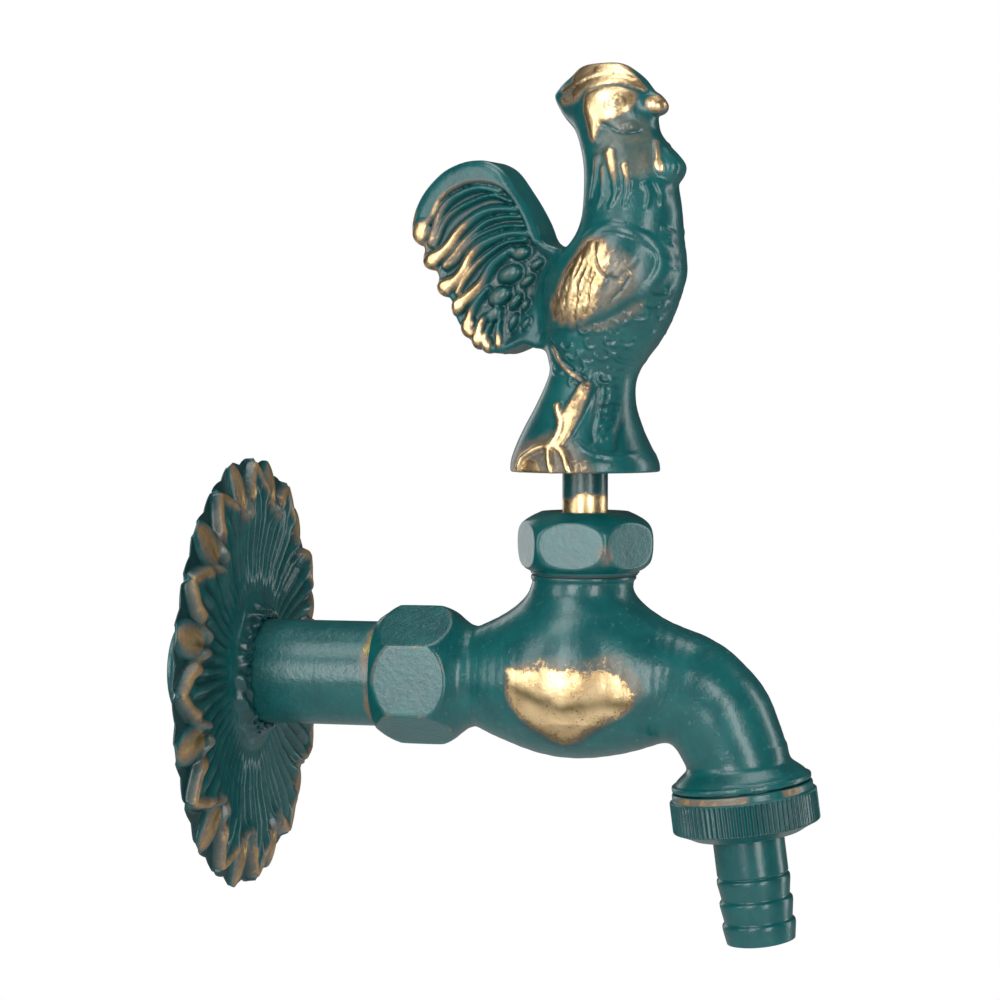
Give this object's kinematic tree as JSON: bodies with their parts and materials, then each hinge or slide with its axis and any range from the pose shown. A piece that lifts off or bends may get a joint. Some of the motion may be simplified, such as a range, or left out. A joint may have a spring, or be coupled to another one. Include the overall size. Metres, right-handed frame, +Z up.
{
  "type": "garden tap",
  "caption": "Wall-mounted screw-down garden tap with a cockerel-shaped turning handle, petalled wall plate, bent spout and barbed hose tail on a knurled union nut.",
  "frame": {"origin": "centre of the inlet pipe in the plane of the wall, where the pipe's male thread starts", "axes": "+X runs out of the wall along the inlet pipe towards the spout, +Z is up along the spindle, +Y is to the left seen from the wall looking out"},
  "size_m": [0.1351, 0.091, 0.1784],
  "materials": {
    "body_green": "glossy green patina over cast brass, rubbed to the metal on the bulb",
    "pipe_green": "glossy green patina over brass pipe",
    "bonnet_green": "glossy green patina, rubbed on the hexagon's corners",
    "cockerel_green": "green patina over cast brass, rubbed bright on comb, wing, tail tips and feet",
    "rosette_green": "green patina over cast brass, rubbed bright on the petals' edges",
    "union_green": "glossy green patina, rubbed on the top ring",
    "tail_green": "glossy green patina",
    "spindle_brass": "turned brass with green patina in stripes",
    "inner_brass": "turned brass",
    "seal_rubber": "black rubber",
    "fibre_washer": "red-brown fibre",
    "screw_steel": "stainless steel"
  },
  "bodies": {
    "tap": {"tap_body": "body_green", "inlet_pipe": "pipe_green", "bonnet": "bonnet_green", "bonnet_washer": "fibre_washer"},
    "valve": {"jumper_valve": "inner_brass", "tap_washer": "seal_rubber", "washer_nut": "inner_brass"},
    "handle": {"spindle": "spindle_brass", "spindle_oring_upper": "seal_rubber", "spindle_oring_lower": "seal_rubber", "rooster_handle": "cockerel_green", "handle_set_screw": "screw_steel"},
    "hose_seal": {"hose_washer": "seal_rubber"},
    "union": {"union_nut": "union_green"},
    "tail": {"hose_tail": "tail_green"},
    "rosette": {"wall_rosette": "rosette_green"}
  },
  "joints": [
    {"name": "valve_lift", "type": "slide", "parent": "tap", "child": "valve", "axis": [0, 0, 1], "range_m": [0, 0.005]},
    {"name": "handle_turn", "type": "hinge", "parent": "valve", "child": "handle", "pos_m": [0.074, 0, 0.0425], "axis": [0, 0, 1], "range_deg": [0, 900]},
    {"name": "union_drop", "type": "slide", "parent": "tap", "child": "hose_seal", "axis": [0.1288, 0, -0.9917], "range_m": [0, 0.0059]},
    {"name": "union_nut_turn", "type": "hinge", "parent": "hose_seal", "child": "union", "pos_m": [0.10684, 0, -0.02521], "axis": [0.1288, 0, -0.9917], "range_deg": [0, 1170]},
    {"name": "hose_tail_swivel", "type": "hinge", "parent": "hose_seal", "child": "tail", "pos_m": [0.10749, 0, -0.03017], "axis": [0.1288, 0, -0.9917], "continuous": true},
    {"name": "rosette_slide", "type": "slide", "parent": "tap", "child": "rosette", "axis": [1, 0, 0], "range_m": [0, 0.023]}
  ],
  "couplings": [
    {"joint": "valve_lift", "follows": "handle_turn", "m_per_rad": 0.0003183},
    {"joint": "union_drop", "follows": "union_nut_turn", "m_per_rad": 0.00028875}
  ]
}
